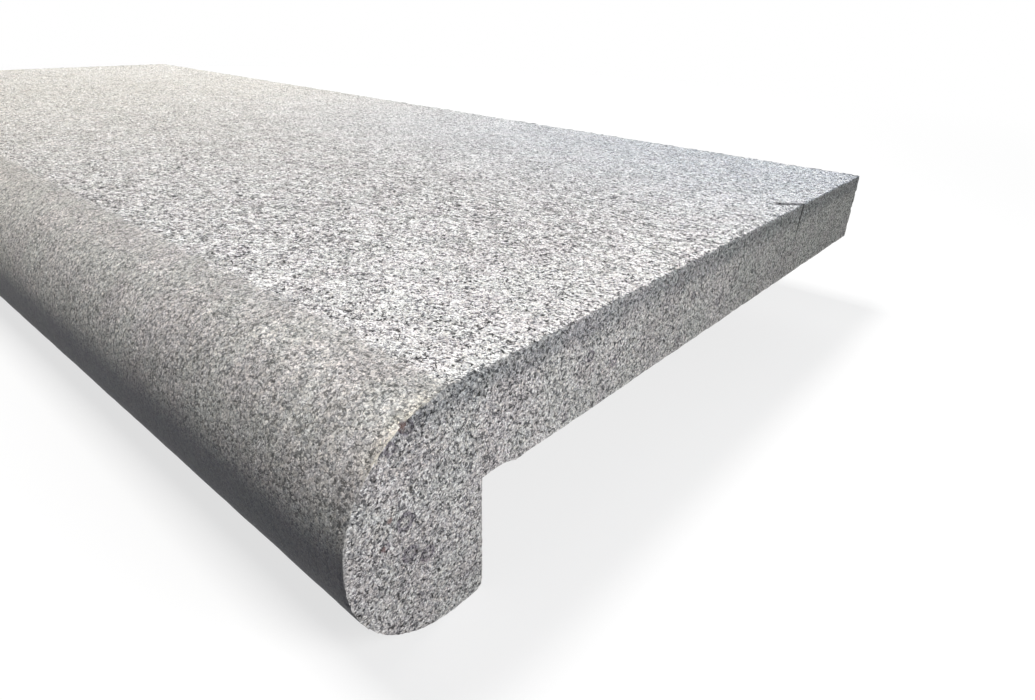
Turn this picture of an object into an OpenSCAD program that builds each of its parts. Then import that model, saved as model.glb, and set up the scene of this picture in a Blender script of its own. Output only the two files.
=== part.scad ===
// Pool coping stone, cut from one block of granite.
// A flat slab lies on the head of the pool wall. Along its front it turns down into a drop
// with a rounded nose, which laps over the wall's water side. The section is sawn and ground
// to one profile and is the same from end to end, so neighbouring stones line up.
// X runs along the pool edge, the nose faces -Y and Z is up. The origin is under the middle
// of the stone, level with the foot of the drop.

/* [Slab] */
// Length along the pool edge
stone_l = 1000; // [300:10:1500]
// Depth from the front of the nose to the back edge
stone_d = 400; // [200:5:600]
// Thickness of the slab behind the drop
slab_t = 40; // [20:1:60]

/* [Drop nose] */
// How far the drop hangs below the slab's underside
drop_h = 44; // [20:1:80]
// Thickness of the drop from its front to its back face
drop_t = 51; // [40:1:90]
// Radius worked on the top of the nose
nose_r = 40; // [3:1:60]
// Radius worked on the front of the drop's foot
foot_r = 40; // [3:1:60]
// Radius of the arris between the foot and the drop's back face
back_arris_r = 3; // [1:0.5:8]

/* [Rebate relief] */
// Width of the relief ground into the underside, from the drop's back face
relief_w = 12; // [4:0.5:30]
// Depth of the relief above the underside
relief_d = 1.8; // [0.5:0.1:5]
// Width of the slope on which the relief runs out
relief_slope_w = 2.2; // [0.5:0.1:8]

/* [Hidden] */
$fn = 96;
// Reach of a cutter past the face that it cuts
over = 1;
// Least flat that a radius leaves on the face beside it
least_land = 1;
// Height of the nose from the drop's foot to the top of the slab
nose_h = slab_t + drop_h;
// Most that either front radius can take of the nose's height
half_nose = (nose_h - least_land) / 2;
// The two front radii, limited by the stone that they are cut from
top_fillet_r = min(nose_r, half_nose);
foot_fillet_r = min(foot_r, half_nose, drop_t - back_arris_r - least_land);
granite = [0.60, 0.60, 0.59];

// What is ground off a square arris at the origin, with the stone on its +X +Y side
module arris_waste(r) {
    difference() {
        translate([-over, -over])
            square(r + over);
        translate([r, r])
            circle(r = r);
    }
}

// Slab and drop as they leave the saw, with every arris square: x is the depth, y the height
module sawn_profile() {
    translate([0, drop_h])
        square([stone_d, slab_t]);
    square([drop_t, nose_h]);
}

// Relief in the corner of the rebate, which keeps the stone off the wall's sharp edge
module relief_profile() {
    translate([drop_t, drop_h])
        polygon([
            [0, -over],
            [0, relief_d],
            [relief_w, relief_d],
            [relief_w + relief_slope_w, 0],
            [relief_w + relief_slope_w, -over]
        ]);
}

// The finished section
module stone_profile() {
    difference() {
        sawn_profile();
        translate([0, nose_h])
            mirror([0, 1])
                arris_waste(top_fillet_r);
        arris_waste(foot_fillet_r);
        translate([drop_t, 0])
            mirror([1, 0])
                arris_waste(back_arris_r);
        relief_profile();
    }
}

// The stone: its section swept along the pool edge
module coping_stone() {
    color(granite)
        translate([-stone_l / 2, -stone_d / 2, 0])
            rotate([90, 0, 90])
                linear_extrude(height = stone_l)
                    stone_profile();
}

coping_stone();
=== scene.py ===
# %% [markdown]
# A pool coping stone is one block of granite, sawn to an L shape. Its slab lies on the head of
# the pool wall and its rounded front, the drop, turns down over the water side.
# This lesson dresses the stone: a mesh with the relief that the saw, the flame and the grinding
# wheel leave, and a granite that is solid all the way through, as in the real block.
# The frame is the stone as constructed, in metres, and every size below is worked out from it.

# %% Load the frame
import math

import bpy
from mathutils import Matrix, Vector


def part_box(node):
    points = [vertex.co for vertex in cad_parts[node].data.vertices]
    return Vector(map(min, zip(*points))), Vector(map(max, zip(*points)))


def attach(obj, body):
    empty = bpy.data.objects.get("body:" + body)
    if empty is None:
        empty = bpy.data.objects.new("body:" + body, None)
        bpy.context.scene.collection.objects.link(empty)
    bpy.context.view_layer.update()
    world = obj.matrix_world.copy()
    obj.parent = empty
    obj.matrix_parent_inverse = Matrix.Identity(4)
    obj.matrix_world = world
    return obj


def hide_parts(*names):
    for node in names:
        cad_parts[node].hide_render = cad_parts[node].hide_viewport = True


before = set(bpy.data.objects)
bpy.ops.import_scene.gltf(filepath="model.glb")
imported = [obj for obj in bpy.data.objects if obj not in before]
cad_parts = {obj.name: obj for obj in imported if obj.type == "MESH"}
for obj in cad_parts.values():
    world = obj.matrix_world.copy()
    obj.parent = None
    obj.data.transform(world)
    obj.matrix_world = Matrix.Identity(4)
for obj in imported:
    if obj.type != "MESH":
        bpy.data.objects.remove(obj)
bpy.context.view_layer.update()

# %% [markdown]
# The section is read back from the constructed stone, so that the dressed one can't drift from
# it. Each size is the place of a known edge: the back face gives the slab's underside, the
# upright land at the front gives both nose radii, and the back of the drop gives its thickness,
# its small arris radius and the relief in the corner of the rebate.

# %% Read the section
MM = 0.001
TINY = 0.01 * MM
stone_low, stone_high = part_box("coping_stone")
points = [v.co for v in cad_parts["coping_stone"].data.vertices]

LENGTH = stone_high.x - stone_low.x
DEPTH = stone_high.y - stone_low.y
HEIGHT = stone_high.z - stone_low.z
UNDERSIDE = min(p.z for p in points if p.y > stone_high.y - TINY)
FRONT_LAND = [p.z for p in points if p.y < stone_low.y + TINY]
FOOT_RADIUS = min(FRONT_LAND)
NOSE_RADIUS = HEIGHT - max(FRONT_LAND)
DROP_BACK = max(p.y for p in points if p.z < UNDERSIDE / 2)
REBATE_WALL = [p.z for p in points if abs(p.y - DROP_BACK) < TINY]
ARRIS_RADIUS = min(REBATE_WALL)
RELIEF_TOP = max(z for z in REBATE_WALL if z < HEIGHT - TINY)
RELIEF_END = max(p.y for p in points if abs(p.z - RELIEF_TOP) < TINY)
BED_START = min(p.y for p in points if abs(p.z - UNDERSIDE) < TINY and p.y > RELIEF_END)

print(f"stone {LENGTH:.3f} x {DEPTH:.3f} x {HEIGHT:.3f} m, underside at {UNDERSIDE:.4f}")
print(f"nose radius {NOSE_RADIUS:.4f}, foot radius {FOOT_RADIUS:.4f}, arris {ARRIS_RADIUS:.4f}")
print(f"drop back {DROP_BACK:.4f}, relief to {RELIEF_TOP:.4f}, {RELIEF_END:.4f}, {BED_START:.4f}")

# %% [markdown]
# Node maths reads best as ordinary expressions. A Wire is one output of a node, and arithmetic
# on it adds Math nodes, or Vector Math nodes where it carries a vector or a colour. A Board is
# a node tree, and its one method for nodes takes a type, its settings and its input values.
# The same two classes serve the shape's tree and the granite's.

# %% Wires and boards


class Wire:
    """One output of a node, which can be used in Python expressions."""

    def __init__(self, board, socket):
        self.board = board
        self.socket = socket

    def _joined(self, operation, first, second=None):
        wires = [t for t in (first, second) if isinstance(t, Wire)]
        if not any(w.socket.type in ("VECTOR", "RGBA") for w in wires):
            return self.board.math(operation, first, second)
        if operation == "MULTIPLY" and not isinstance(second, Wire) and not hasattr(second, "__len__"):
            return self.board.vector("SCALE", first, scale=second)
        return self.board.vector(operation, first, second)

    def __add__(self, other):
        return self._joined("ADD", self, other)

    def __radd__(self, other):
        return self._joined("ADD", other, self)

    def __sub__(self, other):
        return self._joined("SUBTRACT", self, other)

    def __rsub__(self, other):
        return self._joined("SUBTRACT", other, self)

    def __mul__(self, other):
        return self._joined("MULTIPLY", self, other)

    def __rmul__(self, other):
        return self._joined("MULTIPLY", self, other)

    def __truediv__(self, other):
        return self._joined("DIVIDE", self, other)

    def __rtruediv__(self, other):
        return self._joined("DIVIDE", other, self)

    def __neg__(self):
        return self * -1

    def __abs__(self):
        return self.board.math("ABSOLUTE", self)

    def over(self, limit):
        return self.board.math("GREATER_THAN", self, limit)

    def under(self, limit):
        return self.board.math("LESS_THAN", self, limit)


class Board:
    """A node tree, with one way to add a node."""

    def __init__(self, tree):
        self.tree = tree

    def node(self, kind, settings=None, values=None):
        made = self.tree.nodes.new(kind)
        for name, value in (settings or {}).items():
            setattr(made, name, value)
        for name, value in (values or {}).items():
            self.feed(made.inputs[name], value)
        return made

    def feed(self, socket, value):
        if isinstance(value, Wire):
            self.tree.links.new(value.socket, socket)
        elif value is not None:
            socket.default_value = value

    def wire(self, made, output=0):
        return Wire(self, made.outputs[output])

    def get(self, kind, output=0, settings=None, values=None):
        return self.wire(self.node(kind, settings, values), output)

    def math(self, operation, first, second=None):
        values = {0: first, 1: second}
        return self.get("ShaderNodeMath", settings={"operation": operation}, values=values)

    def vector(self, operation, first, second=None, scale=None):
        made = self.node("ShaderNodeVectorMath", {"operation": operation}, {0: first})
        if second is not None:
            self.feed(made.inputs[1], second)
        if scale is not None:
            self.feed(made.inputs["Scale"], scale)
        return self.wire(made, "Value" if operation in ("LENGTH", "DISTANCE", "DOT_PRODUCT") else 0)

    def join(self, x=0.0, y=0.0, z=0.0):
        return self.get("ShaderNodeCombineXYZ", values={0: x, 1: y, 2: z})

    def split(self, vector):
        made = self.node("ShaderNodeSeparateXYZ", values={0: vector})
        return [self.wire(made, axis) for axis in range(3)]

    def blend(self, value, start, end, to_start=0.0, to_end=1.0):
        """Goes smoothly from to_start to to_end while value goes from start to end."""
        settings = {"interpolation_type": "SMOOTHSTEP"}
        values = {"Value": value, "From Min": start, "From Max": end, "To Min": to_start, "To Max": to_end}
        return self.get("ShaderNodeMapRange", "Result", settings, values)

    def limit(self, value, low=0.0, high=1.0):
        return self.get("ShaderNodeClamp", values={"Value": value, "Min": low, "Max": high})


# %% [markdown]
# The stone's shape follows a rule: one section, carried along the length. Geometry Nodes suit
# that. Two blocks of square cells, one for the slab and one for the drop, share a grid where
# they meet; the faces between them go, and the blocks are merged into one closed shell. Then
# each grid point is sent to its place. Steps are fine along the arrises, where chips show, and
# coarse in the middle. A square corner becomes a round one by pulling the points of its corner
# square onto an arc, so the end faces get an even mesh too and no seam.

# %% Shape tree: named inputs
SHAPE_INPUTS = {
    "Length": LENGTH,
    "Depth": DEPTH,
    "Height": HEIGHT,
    "Underside": UNDERSIDE,
    "Nose radius": NOSE_RADIUS,
    "Foot radius": FOOT_RADIUS,
    "Arris radius": ARRIS_RADIUS,
    "Drop thickness": DROP_BACK - stone_low.y,
    "Relief depth": RELIEF_TOP - UNDERSIDE,
    "Relief width": RELIEF_END - DROP_BACK,
    "Relief slope": BED_START - RELIEF_END,
    "Flame depth": 0.7 * MM,
    "Saw depth": 0.18 * MM,
    "Arris wear": 0.5 * MM,
    "Chip depth": 1.2 * MM,
    "Pit depth": 1.7 * MM,
    "Pit radius": 2.6 * MM,
}
CELL_COUNTS = {
    "Rows": 380,
    "Nose columns": 56,
    "Slab columns": 140,
    "Slab layers": 30,
    "Drop layers": 34,
    "Seed": 7,
}
PIT_CENTRE = (LENGTH / 2, stone_low.y + 22.5 * MM, 79.0 * MM)

shape_tree = bpy.data.node_groups.new("coping_section_along_length", "GeometryNodeTree")
shape = Board(shape_tree)
sockets = shape_tree.interface
sockets.new_socket("Geometry", in_out="OUTPUT", socket_type="NodeSocketGeometry")
for name in SHAPE_INPUTS:
    sockets.new_socket(name, in_out="INPUT", socket_type="NodeSocketFloat")
for name in CELL_COUNTS:
    sockets.new_socket(name, in_out="INPUT", socket_type="NodeSocketInt")
sockets.new_socket("Pit centre", in_out="INPUT", socket_type="NodeSocketVector")
sockets.new_socket("Stone", in_out="INPUT", socket_type="NodeSocketMaterial")
entry = shape.node("NodeGroupInput")
given = {socket.name: shape.wire(entry, socket.name) for socket in entry.outputs if socket.name}
print(len(given), "named inputs")

# %% Shape tree: two blocks of cells, merged into one shell


def block(columns, layers, lift):
    """A closed block of unit cells, with its first column at y = 0 and its layers moved by lift."""
    counts = (given["Rows"], columns, layers)
    cube = shape.node("GeometryNodeMeshCube", values={"Size": shape.join(*counts)})
    for axis, count in zip("XYZ", counts):
        shape.feed(cube.inputs[f"Vertices {axis}"], count + 1)
    move = {"Geometry": shape.wire(cube), "Translation": shape.join(0.0, columns / 2, lift)}
    return shape.get("GeometryNodeTransform", values=move)


def without(geometry, chosen):
    values = {"Geometry": geometry, "Selection": chosen}
    return shape.get("GeometryNodeDeleteGeometry", settings={"domain": "FACE"}, values=values)


HALF_CELL = 0.5
place = shape.get("GeometryNodeInputPosition")
cell_x, cell_y, cell_z = shape.split(place)
all_columns = given["Nose columns"] + given["Slab columns"]
slab = block(all_columns, given["Slab layers"], given["Slab layers"] / 2)
slab = without(slab, cell_z.under(HALF_CELL / 2) * cell_y.under(given["Nose columns"]))
drop = block(given["Nose columns"], given["Drop layers"], given["Drop layers"] / -2)
drop = without(drop, cell_z.over(-HALF_CELL / 2))
both = shape.node("GeometryNodeJoinGeometry")
shape.feed(both.inputs[0], drop)
shape.feed(both.inputs[0], slab)
shell = shape.get("GeometryNodeMergeByDistance", values={"Geometry": shape.wire(both), "Distance": 0.01})

# %% Shape tree: from cells to places on the stone


def stepped(step, steps, span, fine, coarse, settle):
    """Distance from an arris after so many steps, which grow from fine to coarse and fill span."""

    def run(count):
        return count * coarse - (1 - shape.math("EXPONENT", count / -settle)) * (settle * (coarse - fine))

    return run(step) / run(steps) * span


def rounded(y, z, centre_y, centre_z, side_y, side_z, radius):
    """Pulls the square corner on the given side of an arc's centre onto the arc."""
    u = shape.limit((y - centre_y) * side_y / radius)
    v = shape.limit((z - centre_z) * side_z / radius)
    pull_y = u * (shape.math("SQRT", 1 - v * v / 2) - 1)
    pull_z = v * (shape.math("SQRT", 1 - u * u / 2) - 1)
    return y + pull_y * radius * side_y, z + pull_z * radius * side_z


def either(test, if_true, if_false):
    return if_false + test * (if_true - if_false)


half_rows = given["Rows"] / 2
from_end = half_rows - abs(cell_x)
inward = stepped(from_end, half_rows, given["Length"] / 2, 0.7, 3.1, 9.0)
along = shape.math("SIGN", cell_x) * (given["Length"] / 2 - inward)

slab_depth = given["Depth"] - given["Drop thickness"]
from_back = stepped(all_columns - cell_y, given["Slab columns"], slab_depth, 1.0, 2.9, 6.0)
in_drop = cell_y.under(given["Nose columns"] + 0.01)
across = either(in_drop, cell_y / given["Nose columns"] * given["Drop thickness"], given["Depth"] - from_back)

slab_height = given["Height"] - given["Underside"]
half_layers = given["Slab layers"] / 2
layer_step = half_layers - abs(cell_z - half_layers)
from_face = stepped(layer_step, half_layers, slab_height / 2, 0.8, 2.2, 3.0)
slab_up = either(cell_z.over(half_layers), given["Height"] - from_face, given["Underside"] + from_face)
drop_step = cell_z + given["Drop layers"]
drop_up = stepped(drop_step, given["Drop layers"], given["Underside"], 0.9, 2.0, 3.0)
up = either(cell_z.under(-0.01), drop_up, slab_up)

past_drop = across - given["Drop thickness"]
relief_reach = given["Relief width"] + given["Relief slope"]
relief_share = shape.limit((relief_reach - past_drop) / given["Relief slope"])
behind_drop = past_drop.over(-TINY)
above_bed = shape.limit((given["Height"] - up) / slab_height)
in_slab = up.over(given["Underside"] - TINY)
up = up + relief_share * behind_drop * above_bed * in_slab * given["Relief depth"]

nose, foot, arris = given["Nose radius"], given["Foot radius"], given["Arris radius"]
across, up = rounded(across, up, nose, given["Height"] - nose, -1, 1, nose)
across, up = rounded(across, up, foot, foot, -1, -1, foot)
in_drop_again = across.under(given["Drop thickness"] + TINY)
arris_y, arris_z = rounded(across, up, given["Drop thickness"] - arris, arris, 1, -1, arris)
across = either(in_drop_again, arris_y, across)
up = either(in_drop_again, arris_z, up)

section_place = shape.join(along, across - given["Depth"] / 2, up)
shaped = shape.get("GeometryNodeSetPosition", values={"Geometry": shell, "Position": section_place})
print(len(shape_tree.nodes), "nodes so far")

# %% [markdown]
# Three tools leave three reliefs. A torch bursts the crystals of the top, which leaves shallow
# hollows a few millimetres wide. The grinding wheel leaves the nose nearly smooth. The saw
# leaves the ends and the underside flat within a fraction of a millimetre. Every arris wears and
# loses small chips. All of this only takes stone away, so points move inwards along the surface
# normal. A value for "how close to an arris" is stored with the mesh for the granite to use.

# %% Shape tree: relief


def noise(board, where, size, detail=2.0, seed=None, roughness=0.55):
    """Noise from 0 to 1 with features about size wide."""
    settings = {"noise_dimensions": "4D" if seed is not None else "3D"}
    values = {"Vector": where, "Scale": 1 / size, "Detail": detail, "Roughness": roughness}
    made = board.node("ShaderNodeTexNoise", settings, values)
    if seed is not None:
        board.feed(made.inputs["W"], seed)
    return board.wire(made, 0)


ARRIS_ANGLE = 0.6
spot = shape.get("GeometryNodeInputPosition")
spot_x, spot_y, spot_z = shape.split(spot)
normal = shape.get("GeometryNodeInputNormal")
normal_x, normal_y, normal_z = shape.split(normal)
fold = shape.get("GeometryNodeInputMeshEdgeAngle", "Signed Angle")
on_arris = fold.over(ARRIS_ANGLE)


def stored(geometry, name, value):
    settings = {"data_type": "FLOAT", "domain": "POINT"}
    values = {"Geometry": geometry, "Name": name, "Value": value}
    return shape.get("GeometryNodeStoreNamedAttribute", settings=settings, values=values)


shaped = stored(shaped, "arris", on_arris)
arris_here = shape.get(
    "GeometryNodeInputNamedAttribute", "Attribute", {"data_type": "FLOAT"}, {"Name": "arris"}
)
near_arris = shape.get(
    "GeometryNodeBlurAttribute", "Value", {"data_type": "FLOAT"}, {"Value": arris_here, "Iterations": 1}
)

seed = given["Seed"]
tangent_line = given["Depth"] / -2 + given["Nose radius"]
flamed = normal_z.over(0.5) * shape.blend(spot_y - tangent_line, -1.5 * MM, 1.0 * MM)
hollows = noise(shape, spot, 7.0 * MM, 2.0, seed)
bursts = noise(shape, spot, 3.2 * MM, 1.0, seed + 3)
flame_loss = shape.blend(hollows * 0.55 + bursts * 0.45, 0.32, 0.68) * given["Flame depth"]
saw_loss = shape.blend(noise(shape, spot, 14.0 * MM, 3.0, seed + 5), 0.3, 0.7) * given["Saw depth"]
surface_loss = either(flamed, flame_loss, saw_loss)

wide_values = {"Value": arris_here, "Iterations": 3}
around_arris = shape.get("GeometryNodeBlurAttribute", "Value", {"data_type": "FLOAT"}, wide_values)
shaped = stored(shaped, "worn_edge", around_arris)
chips = shape.blend(noise(shape, spot, 5.0 * MM, 3.0, seed + 9), 0.5, 0.68)
nicks = shape.blend(noise(shape, spot, 1.9 * MM, 1.0, seed + 13), 0.32, 0.68)
handled = shape.math(
    "MAXIMUM",
    shape.blend(spot_z, given["Underside"], given["Height"]),
    shape.blend(spot_y, given["Depth"] * -0.5 + given["Foot radius"], given["Depth"] * -0.5),
)
arris_share = shape.limit(near_arris * 2.0) * (handled * 0.75 + 0.25)
arris_loss = arris_share * (given["Arris wear"] * nicks + chips * given["Chip depth"])
pit_distance = shape.vector("DISTANCE", spot, given["Pit centre"])
pit_loss = shape.blend(pit_distance / given["Pit radius"], 1.0, 0.3) * given["Pit depth"]

loss = surface_loss + arris_loss + pit_loss
worn = shape.get("GeometryNodeSetPosition", values={"Geometry": shaped, "Offset": normal * (loss * -1)})

smooth = shape.get("GeometryNodeSetShadeSmooth", values={"Geometry": worn, "Shade Smooth": True})
real = shape.get("GeometryNodeRealizeInstances", values={"Geometry": smooth})
finished = shape.get("GeometryNodeSetMaterial", values={"Geometry": real, "Material": given["Stone"]})
exit_node = shape.node("NodeGroupOutput")
shape.feed(exit_node.inputs["Geometry"], finished)
print(len(shape_tree.nodes), "nodes in the shape tree")

# %% [markdown]
# The granite is solid, so its pattern is made in three dimensions from the object's own
# coordinates, and each face cuts through the same grains. Cells of a Voronoi texture stand for
# crystals. A slightly bent space keeps their edges from looking drawn with a ruler.

# %% Granite: crystals
granite = bpy.data.materials.new("granite")
granite.use_nodes = True
granite.node_tree.nodes.clear()
stone = Board(granite.node_tree)
PER_MM = 1 / MM

here = stone.get("ShaderNodeTexCoord", "Object") * PER_MM
here_x, here_y, here_z = stone.split(here)
face_x, face_y, face_z = stone.split(stone.get("ShaderNodeNewGeometry", "Normal"))


def crystals(where, size):
    """Crystals about size millimetres wide: how far each point is from its core, and three picks."""
    values = {"Vector": where, "Scale": 1 / size, "Randomness": 1.0}
    made = stone.node("ShaderNodeTexVoronoi", {"voronoi_dimensions": "3D", "feature": "F1"}, values)
    return stone.wire(made, "Distance"), *stone.split(stone.wire(made, "Color"))


def ramp(value, stops):
    made = stone.node("ShaderNodeValToRGB", values={"Fac": value})
    elements = made.color_ramp.elements
    while len(elements) < len(stops):
        elements.new(0.5)
    for element, (position, shade) in zip(elements, stops):
        element.position = position
        element.color = (*shade, 1.0)
    return stone.wire(made, "Color")


def mixed(share, first, second):
    made = stone.node("ShaderNodeMix", {"data_type": "RGBA"}, {"Factor": share})
    for socket, colour in ((6, first), (7, second)):
        if not isinstance(colour, Wire):
            colour = (*colour, 1.0)
        stone.feed(made.inputs[socket], colour)
    return stone.wire(made, 2)


values = {"Vector": here, "Scale": 1.3, "Detail": 1.0}
bend = stone.get("ShaderNodeTexNoise", "Color", values=values)
bend_x, bend_y, bend_z = stone.split(bend)
bent = here + (bend - (0.5, 0.5, 0.5)) * 0.9
core_far, pick_a, pick_b, pick_c = crystals(bent, 1.0)
small_far, small_a, small_b, small_c = crystals(bent + (31.0, 17.0, 5.0), 0.46)
burst_place = (bent + (5.0, 71.0, 13.0)) * (0.55, 1.0, 1.0)
burst_far, burst_a, burst_b, burst_c = crystals(burst_place, 1.6)

# %% [markdown]
# Three minerals make the speckle: feldspar from cream to pale grey, smoky quartz, and flakes of
# black biotite that gather in loose clusters. The crystals' random picks go through a colour
# ramp for the first two, and a threshold that drifts with a coarser noise picks the biotite.
# Every tool also tears out grains. Such a pit is a dark dot, partly its own dark and partly painted
# shade, and some crystals lie beside one.

# %% Granite: minerals
DARK_TO_PALE = [
    (0.00, (0.085, 0.087, 0.092)),
    (0.25, (0.250, 0.251, 0.256)),
    (0.50, (0.440, 0.437, 0.430)),
    (0.76, (0.610, 0.602, 0.592)),
    (1.00, (0.880, 0.865, 0.842)),
]
BIOTITE = (0.050, 0.052, 0.057)
pick = pick_a * 0.34 + small_a * 0.66
mineral = ramp(stone.limit(pick * 1.3 - 0.15), DARK_TO_PALE)
cluster = noise(stone, here, 9.0, 2.0)
flake = pick_b.under(0.03 + stone.blend(cluster, 0.42, 0.72) * 0.07)
mineral = mixed(flake * 0.8, mineral, BIOTITE)
seam = abs(noise(stone, bent + (7.0, 53.0, 23.0), 1.9, 1.0) - 0.5)
torn = noise(stone, here + (80.0, 2.0, 9.0), 1.7, 1.0)
pit = stone.blend(seam, 0.075, 0.015) * stone.blend(torn, 0.5, 0.62)

cloud = noise(stone, here + (9.0, 3.0, 41.0), 26.0, 3.0)
mineral = mineral * (cloud * 0.44 + 0.78)

# %% [markdown]
# The colour carries a painted cast of the light: it warms towards the far end, and a colder grey
# lies on the upward faces at the back. Single grains lean to tan or to blue, as natural stone
# drifts in tint. These tints are only a few hundredths, but without them the stone looks like a
# print in black ink.

# %% Granite: tint
ROSY_LIGHT_CAST, WARM_LIGHT_CAST = (1.015, 0.992, 0.994), (1.135, 1.08, 0.98)
COLD_LIGHT_CAST, GREENISH = (0.935, 1.0, 1.105), (0.99, 1.008, 0.996)
half_length = LENGTH / 2 * PER_MM
warm_cast_share = stone.blend(here_x, half_length - 80.0, -half_length + 250.0)
cold_cast_share = stone.blend(here_y, -40.0, 200.0) * stone.blend(here_x, -150.0, half_length)
cold_cast_share = cold_cast_share * stone.blend(face_z, 0.4, 0.7)
# Painted light cast: warm towards the far end, cool on upward faces at the back corner.
painted_light_cast = mixed(warm_cast_share, ROSY_LIGHT_CAST, WARM_LIGHT_CAST)
painted_light_cast = mixed(cold_cast_share, painted_light_cast, COLD_LIGHT_CAST)
patch = stone.blend(noise(stone, here + (3.0, 77.0, 1.0), 17.0, 2.0), 0.35, 0.65)
lean = mixed(pick_c, (1.02, 0.998, 0.975), (0.98, 0.998, 1.025))
tint = painted_light_cast * mixed(patch, (1.012, 0.995, 1.003), GREENISH) * lean

# %% [markdown]
# The same granite looks different under each tool. Flame shatters the crystals, so the top is
# pale, rough and full of small hollows, whose dark is partly painted shade. The wheel leaves the
# nose greyer and smoother, and the saw leaves the ends in between. Which finish a point has
# follows from the way its face looks and from the line where the nose meets the top, which
# wanders a little by hand.

# %% Granite: finishes
NOSE_LINE = (stone_low.y + NOSE_RADIUS) * PER_MM
line = here_y - NOSE_LINE - (cloud - 0.5) * 7.0 - (bend_x - 0.5) * 2.0 - (burst_b - 0.5) * 2.6
facing_up = stone.blend(face_z, 0.55, 0.8)
facing_end = stone.blend(abs(face_x), 0.45, 0.75)
is_flamed = facing_up * stone.blend(line, -2.2, 0.6)
is_honed = (1 - facing_end) * stone.blend(line, 0.6, -2.2)

dome = stone.blend(core_far, 0.05, 0.75, 1.0, 0.0)
small_dome = stone.blend(small_far, 0.05, 0.8, 1.0, 0.0)
rough_height = pick_c * 0.5 + small_c * 0.3 + dome * 0.25 + small_dome * 0.15 - pit * 0.9
# Painted shade: the low points of the crystal relief and the pits are darkened in the colour.
hollow_dark_and_shade = stone.limit(stone.blend(rough_height, 0.45, 0.1) * 0.35 + pit * 0.7)
away = stone.vector("LENGTH", here - (half_length, NOSE_LINE, HEIGHT * PER_MM))
burn = noise(stone, here, 60.0, 2.0) * 0.28 - cluster * 0.21 + 0.965
# Painted shade and highlight: away from the near top corner the bursts' bright and dark grains grow stronger, and long
# light and dark strokes join them, in place of the far top's relief light and shade.
burst_grains_and_shade = (stone.blend(burst_a, 0.05, 0.95) - 0.5) * stone.blend(away, 40.0, 150.0, 0.12, 0.6)
burst_grains_and_shade = burst_grains_and_shade + (pick_b - 0.5) * stone.blend(away, 40.0, 150.0, 0.15, 0.65)
burst_grains_and_shade = burst_grains_and_shade - burst_c.under(0.1) * stone.blend(away, 40.0, 150.0, 0.0, 0.2)
front_share = stone.blend(here_y, 130.0, -30.0)
middle = stone.blend(away, 50.0, 110.0) * stone.blend(away, 230.0, 160.0)
far_shade_strokes = noise(stone, here * (0.2, 1.0, 1.0), 3.2, 1.0) - 0.5
far_shade_strokes = far_shade_strokes * stone.blend(away, 200.0, 600.0, 0.0, 0.25)
burst_grains_and_shade = burst_grains_and_shade * stone.blend(away, 150.0, 480.0, 1.0, 0.55) * (front_share * 0.5 + 0.72) + far_shade_strokes
flamed_tone = mineral * 1.6 * (1 - hollow_dark_and_shade * 0.95) * burn * (burst_grains_and_shade + 1)
flamed_tone = flamed_tone * (1.05 - front_share * (middle * 0.015 + 0.05))
# Painted sheen: the far part of the top, towards the front, is made up to 8 % paler.
far_painted_sheen = stone.blend(away, 300.0, 620.0) * stone.blend(here_y, -160.0, -60.0)
flamed_tone = flamed_tone * (far_painted_sheen * 0.08 + 1)
flamed_tone = flamed_tone * (1 - stone.blend(line, 14.0, 1.0) * 0.09)
strokes = here * (0.22, 0.03, 0.03)
streak = noise(stone, strokes, 1.0, 3.0)
honed_tone = mineral * 0.95 * (1 - hollow_dark_and_shade * 0.75) * (streak * 0.6 + 0.7) + (0.055, 0.057, 0.053)
# Painted shade: where the nose's honed face turns up, its colour is a fifth darker.
crown_painted_shade = stone.blend(face_z, 0.92, 1.0)
honed_tone = honed_tone * (1 - crown_painted_shade * 0.2) * (1.006, 0.998, 0.982)
# Painted shade: the lower nose, which faces sideways and down, turns dark blue-grey in its colour.
foot_painted_shade = stone.blend(face_z, 0.35, 0.0)
honed_tone = mixed(foot_painted_shade * 0.75, honed_tone, (0.172, 0.179, 0.205))
# Painted shade: sawn faces darken towards the back, by up to two fifths, and take a slightly greener tint.
toward_back_shade_and_tint = stone.blend(here_y - stone_low.y * PER_MM, 40.0, 320.0)
sawn_tone = mineral * 1.23 * (1 - hollow_dark_and_shade * 0.85) * (1 - toward_back_shade_and_tint * 0.41)
sawn_tone = mixed(toward_back_shade_and_tint, sawn_tone, sawn_tone * (0.98, 1.012, 0.98))
tone = mixed(is_honed, sawn_tone, honed_tone)
tone = mixed(is_flamed, tone, flamed_tone) * tint

# %% [markdown]
# The end that shows has a history. A cream line of chips runs up the nose's arris, a band under
# the top arris of the ends is darker, and a few grains have rusted into small dark rings. Each mark
# is placed in the plane of the end face.

# %% Granite: marks on the end
near_end = here_x.over(half_length - 6.0)
from_front = here_y - stone_low.y * PER_MM
edge_values = {"data_type": "FLOAT"}
worn_edge = stone.get("ShaderNodeAttribute", "Fac", {"attribute_name": "worn_edge"})
broken = noise(stone, here, 1.1, 2.0) * 0.5 + noise(stone, here, 3.5, 1.0) * 0.5
on_edge = stone.blend(worn_edge * 1.6 + (broken - 0.5) * 1.3, 0.35, 0.41)
cream_reach = stone.blend(from_front, 5.0, 12.0) * stone.blend(from_front, 38.0, 27.0) * stone.blend(here_z, 66.0, 72.0)
cream = on_edge * cream_reach * near_end
creamy_flakes = stone.blend(here_x, half_length - 7.0, half_length - 1.0) * cream_reach * (1 - facing_end)
tone = mixed(creamy_flakes * 0.7, tone, tone * (1.05, 1.02, 0.94))
tone = mixed(cream * 0.65, tone, (0.86, 0.80, 0.70))
away_from_cream = 1 - cream_reach * near_end
nibble = stone.blend(worn_edge * 1.6 + (0.5 - broken) * 1.4, 0.3, 0.4)
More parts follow.
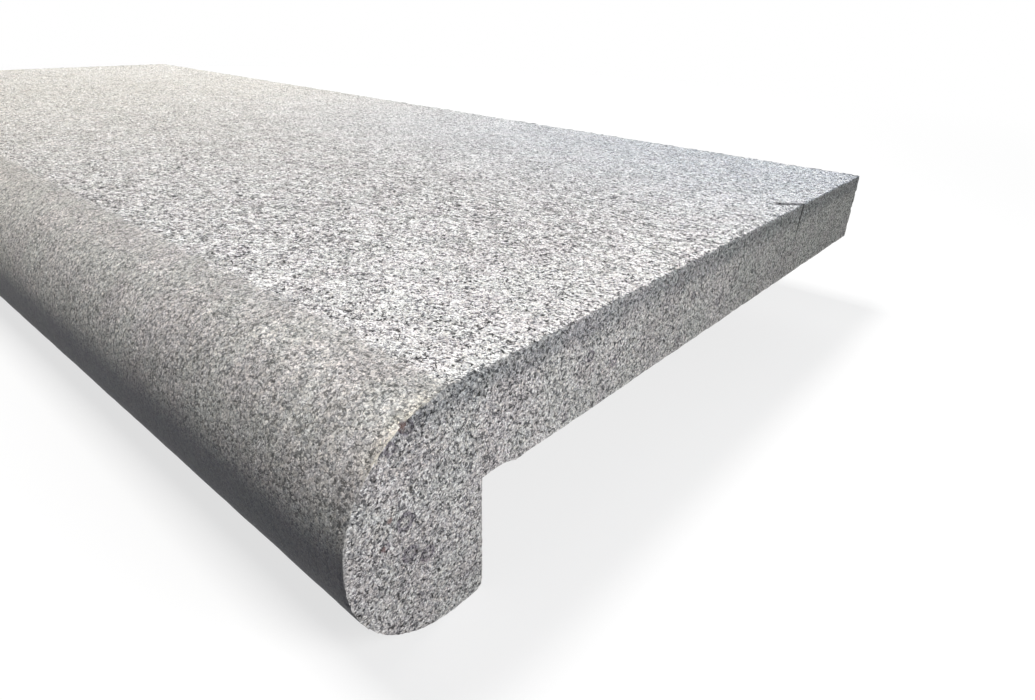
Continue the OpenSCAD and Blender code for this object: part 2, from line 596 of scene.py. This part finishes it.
tone = mixed(nibble * away_from_cream * facing_up, tone, tone * (0.42, 0.43, 0.44))
tone = mixed(on_edge * away_from_cream * (1 - facing_up) * 0.3, tone, (0.66, 0.65, 0.63))

# The ends are a third darker in a wavy band under the top arris.
dark_band_edge = here_z + (cluster - 0.5) * 9.0
dark_top_band = stone.blend(dark_band_edge, 71.0, 79.0) * facing_end
tone = mixed(dark_top_band, tone, tone * (0.66, 0.68, 0.70))

CRACK_POINT = (half_length - 0.6, 299.4 + stone_low.y * PER_MM, 83.5)
CRACK_FACING = Vector((-0.623, 0.760, -0.142)).normalized()
CRACK_REACH = 17.0
to_crack = here - CRACK_POINT
off_crack = abs(stone.vector("DOT_PRODUCT", to_crack, tuple(CRACK_FACING)) + (bend_y - 0.5) * 1.6)
off_crack = off_crack * (1 - facing_up * 0.65)
crack_and_shadow = stone.blend(off_crack, 1.25, 0.4) * stone.blend(stone.vector("LENGTH", to_crack), CRACK_REACH, CRACK_REACH * 0.8)
# Painted shade: the crack's dark line, wider on the end, stands for the crack and for the shadow of its small step.
tone = tone * (1 - crack_and_shadow * 0.78)

RUSTED_GRAINS = [
    (20.8, 48.5, 3.6),
    (21.6, 36.2, 3.3),
    (28.0, 31.6, 3.2),
    (13.6, 44.2, 1.8),
    (23.3, 78.0, 2.6),
    (17.5, 74.5, 2.2),
    (92.0, 48.0, 2.0),
    (105.0, 67.0, 2.6),
    (121.0, 58.4, 2.2),
    (172.0, 49.5, 2.0),
    (180.0, 67.0, 2.4),
    (207.7, 56.0, 2.6),
]
RUST_DARK = (0.43, 0.41, 0.455)
rusted = None
for grain_y, grain_z, radius in RUSTED_GRAINS:
    off_centre = stone.join(0.0, from_front - grain_y, here_z - grain_z) + (bend - (0.5, 0.5, 0.5)) * 1.2
    far = stone.vector("LENGTH", off_centre * (0.0, 1.0, 1.0))
    spot_here = stone.blend(far, radius, radius * 0.75) * (1 - stone.blend(far, radius * 0.65, radius * 0.4) * 0.75)
    rusted = spot_here if rusted is None else stone.math("MAXIMUM", rusted, spot_here)
tone = mixed(rusted * near_end * facing_end, tone, tone * RUST_DARK)

RED_SPOTS = [(15.7, 52.3, 1.3), (13.0, 44.0, 1.2), (13.8, 75.4, 1.0), (22.3, 79.0, 2.2)]
reddened = None
for spot_across, spot_up, radius in RED_SPOTS:
    off_spot = stone.join(0.0, from_front - spot_across, here_z - spot_up) * (0.0, 1.0, 1.0)
    far = stone.vector("LENGTH", off_spot) + (bend_x - 0.5) * 1.6
    red_here = stone.blend(far, radius, radius * 0.4)
    reddened = red_here if reddened is None else stone.math("MAXIMUM", reddened, red_here)
tone = mixed(reddened * near_end * facing_end * 0.75, tone, (0.20, 0.115, 0.10))
tone = stone.vector("MINIMUM", tone, (1.0, 0.99, 0.98))

# %% Granite: surface
relief = rough_height * (0.5 + is_flamed * 0.9 - is_honed * 0.2) - crack_and_shadow * 0.8
relief = relief + is_flamed * (stone.blend(burst_far, 0.1, 0.75, 1.0, 0.0) * 0.4 + burst_b * 0.5)
values = {"Height": relief, "Distance": 0.6 * MM, "Strength": 0.9}
bump = stone.get("ShaderNodeBump", "Normal", values=values)
roughness = 0.78 + is_flamed * 0.1 - is_honed * 0.12

values = {"Base Color": tone, "Roughness": roughness, "Normal": bump, "Specular IOR Level": 0.25}
shader = stone.node("ShaderNodeBsdfPrincipled", values=values)
surface_out = stone.node("ShaderNodeOutputMaterial")
stone.feed(surface_out.inputs["Surface"], stone.wire(shader))
print(len(granite.node_tree.nodes), "nodes in the granite")

# %% [markdown]
# The tree's result becomes a plain mesh. The grid spends as many faces on the flat underside as
# on the rough top, so a Decimate modifier after the tree merges faces where little is lost,
# until the stone is within its budget. Edges that stay sharp are found again on the result.

# %% Make the stone
TRIANGLE_BUDGET = 188_000
SHARP_ANGLE = math.radians(50)
host = bpy.data.objects.new("stone_host", bpy.data.meshes.new("stone_host"))
bpy.context.scene.collection.objects.link(host)
modifier = host.modifiers.new("section along the length", "NODES")
modifier.node_group = shape_tree
values = {**SHAPE_INPUTS, **CELL_COUNTS, "Pit centre": PIT_CENTRE, "Stone": granite}
for item in shape_tree.interface.items_tree:
    if item.item_type == "SOCKET" and item.in_out == "INPUT":
        modifier[item.identifier] = values[item.name]


def evaluated_mesh(name):
    bpy.context.view_layer.update()
    evaluated = host.evaluated_get(bpy.context.evaluated_depsgraph_get())
    made = bpy.data.meshes.new_from_object(evaluated)
    made.name = name
    made.calc_loop_triangles()
    print(f"{name}: {len(made.vertices)} points, {len(made.loop_triangles)} triangles")
    return made


full_grid = evaluated_mesh("full_grid")
thin = host.modifiers.new("fewer faces", "DECIMATE")
thin.ratio = TRIANGLE_BUDGET / len(full_grid.loop_triangles)
bpy.data.meshes.remove(full_grid)
mesh = evaluated_mesh("dressed_stone")
for point in mesh.vertices:
    point.co = [min(max(v, low), high) for v, low, high in zip(point.co, stone_low, stone_high)]
mesh.set_sharp_from_angle(angle=SHARP_ANGLE)
bpy.data.objects.remove(host)

dressed = bpy.data.objects.new("dressed_stone", mesh)
bpy.context.scene.collection.objects.link(dressed)
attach(dressed, "root")
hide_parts("coping_stone")

# %% [markdown]
# The stone stands on a pale floor. The camera is the one that was fitted to the picture's edges:
# a short lens close to the near corner. One soft lamp hangs overhead and one stands off the end,
# and a weak, slightly blue sky fills the shaded front of the nose. The floor and the sky are
# white only for the rays that look at them, so white paper costs the stone no extra light.

# %% Floor, lights and camera
CAMERA_PLACE = (0.60953, -0.26388, 0.17309)
CAMERA_AZIMUTH = 40.217
CAMERA_PITCH = 27.62
CAMERA_ROLL = 1.69
CAMERA_LENS = 22.75

camera_data = bpy.data.cameras.new("photo_camera")
camera_data.sensor_width = 36.0
camera_data.lens = CAMERA_LENS
camera_data.clip_start = 0.01
camera = bpy.data.objects.new("photo_camera", camera_data)
turn = (
    Matrix.Rotation(math.radians(CAMERA_AZIMUTH), 4, "Z")
    @ Matrix.Rotation(math.radians(90 - CAMERA_PITCH), 4, "X")
    @ Matrix.Rotation(math.radians(CAMERA_ROLL), 4, "Z")
)
camera.matrix_world = Matrix.Translation(CAMERA_PLACE) @ turn
bpy.context.scene.collection.objects.link(camera)
bpy.context.scene.camera = camera

floor_data = bpy.data.meshes.new("floor")
FLOOR_HALF = 15.0
floor_data.from_pydata(
    [(x * FLOOR_HALF, y * FLOOR_HALF, 0.0) for x, y in ((-1, -1), (1, -1), (1, 1), (-1, 1))],
    [],
    [(0, 1, 2, 3)],
)
floor = bpy.data.objects.new("floor", floor_data)
bpy.context.scene.collection.objects.link(floor)

WHITE = (1.0, 1.0, 1.0, 1.0)


def looked_at(board):
    """1 for the rays that show the background itself, and 0 for those that light the stone."""
    rays = board.node("ShaderNodeLightPath")
    seen, shine, through = (board.wire(rays, f"Is {kind} Ray") for kind in ("Camera", "Glossy", "Transmission"))
    return board.math("MAXIMUM", board.math("MAXIMUM", seen, shine), through)


paper = bpy.data.materials.new("pale_floor")
paper.use_nodes = True
paper.node_tree.nodes.clear()
sheet = Board(paper.node_tree)
bounce = sheet.get("ShaderNodeBsdfDiffuse", values={"Color": (0.055, 0.055, 0.055, 1.0)})
lit = sheet.get("ShaderNodeBsdfDiffuse", values={"Color": (0.9, 0.9, 0.9, 1.0)})
glow = sheet.get("ShaderNodeEmission", values={"Color": WHITE, "Strength": 1.0})
from_middle = sheet.vector("LENGTH", sheet.get("ShaderNodeTexCoord", "Object"))
far_off = sheet.blend(from_middle, 0.5, 1.6, 0.72, 1.0)
backdrop = sheet.get("ShaderNodeMixShader", values={0: far_off, 1: lit, 2: glow})
floor_look = sheet.get("ShaderNodeMixShader", values={0: looked_at(sheet), 1: bounce, 2: backdrop})
sheet_out = sheet.node("ShaderNodeOutputMaterial")
sheet.feed(sheet_out.inputs["Surface"], floor_look)
floor_data.materials.append(paper)

SKY_FILL = 0.055
world = bpy.data.worlds.new("studio")
world.use_nodes = True
world.node_tree.nodes.clear()
sky = Board(world.node_tree)
fill = sky.get("ShaderNodeBackground", values={"Color": (0.82, 0.95, 1.25, 1.0), "Strength": SKY_FILL})
white = sky.get("ShaderNodeBackground", values={"Color": WHITE, "Strength": 1.0})
background = sky.get("ShaderNodeMixShader", values={0: looked_at(sky), 1: fill, 2: white})
world_out = sky.node("ShaderNodeOutputWorld")
sky.feed(world_out.inputs["Surface"], background)
bpy.context.scene.world = world


def softbox(name, place, target, size, power, tint=(1.0, 1.0, 1.0)):
    data = bpy.data.lights.new(name, "AREA")
    data.shape = "RECTANGLE"
    data.size, data.size_y = size
    data.energy = power
    data.color = tint
    lamp = bpy.data.objects.new(name, data)
    aim = Vector(target) - Vector(place)
    lamp.matrix_world = Matrix.Translation(place) @ aim.to_track_quat("-Z", "Y").to_matrix().to_4x4()
    lamp.visible_camera = False
    bpy.context.scene.collection.objects.link(lamp)


softbox("overhead", (-0.7, -0.15, 2.6), (-0.1, 0.0, 0.05), (1.1, 0.75), 80.0, (1.0, 0.99, 0.97))
softbox("back_light", (-1.3, 1.5, 0.8), (0.0, 0.1, 0.05), (1.2, 0.6), 30.0)
softbox("end_light", (0.98, -0.05, 0.32), (0.5, -0.1, 0.06), (0.24, 0.3), 2.95)

bpy.context.scene.view_settings.view_transform = "Standard"
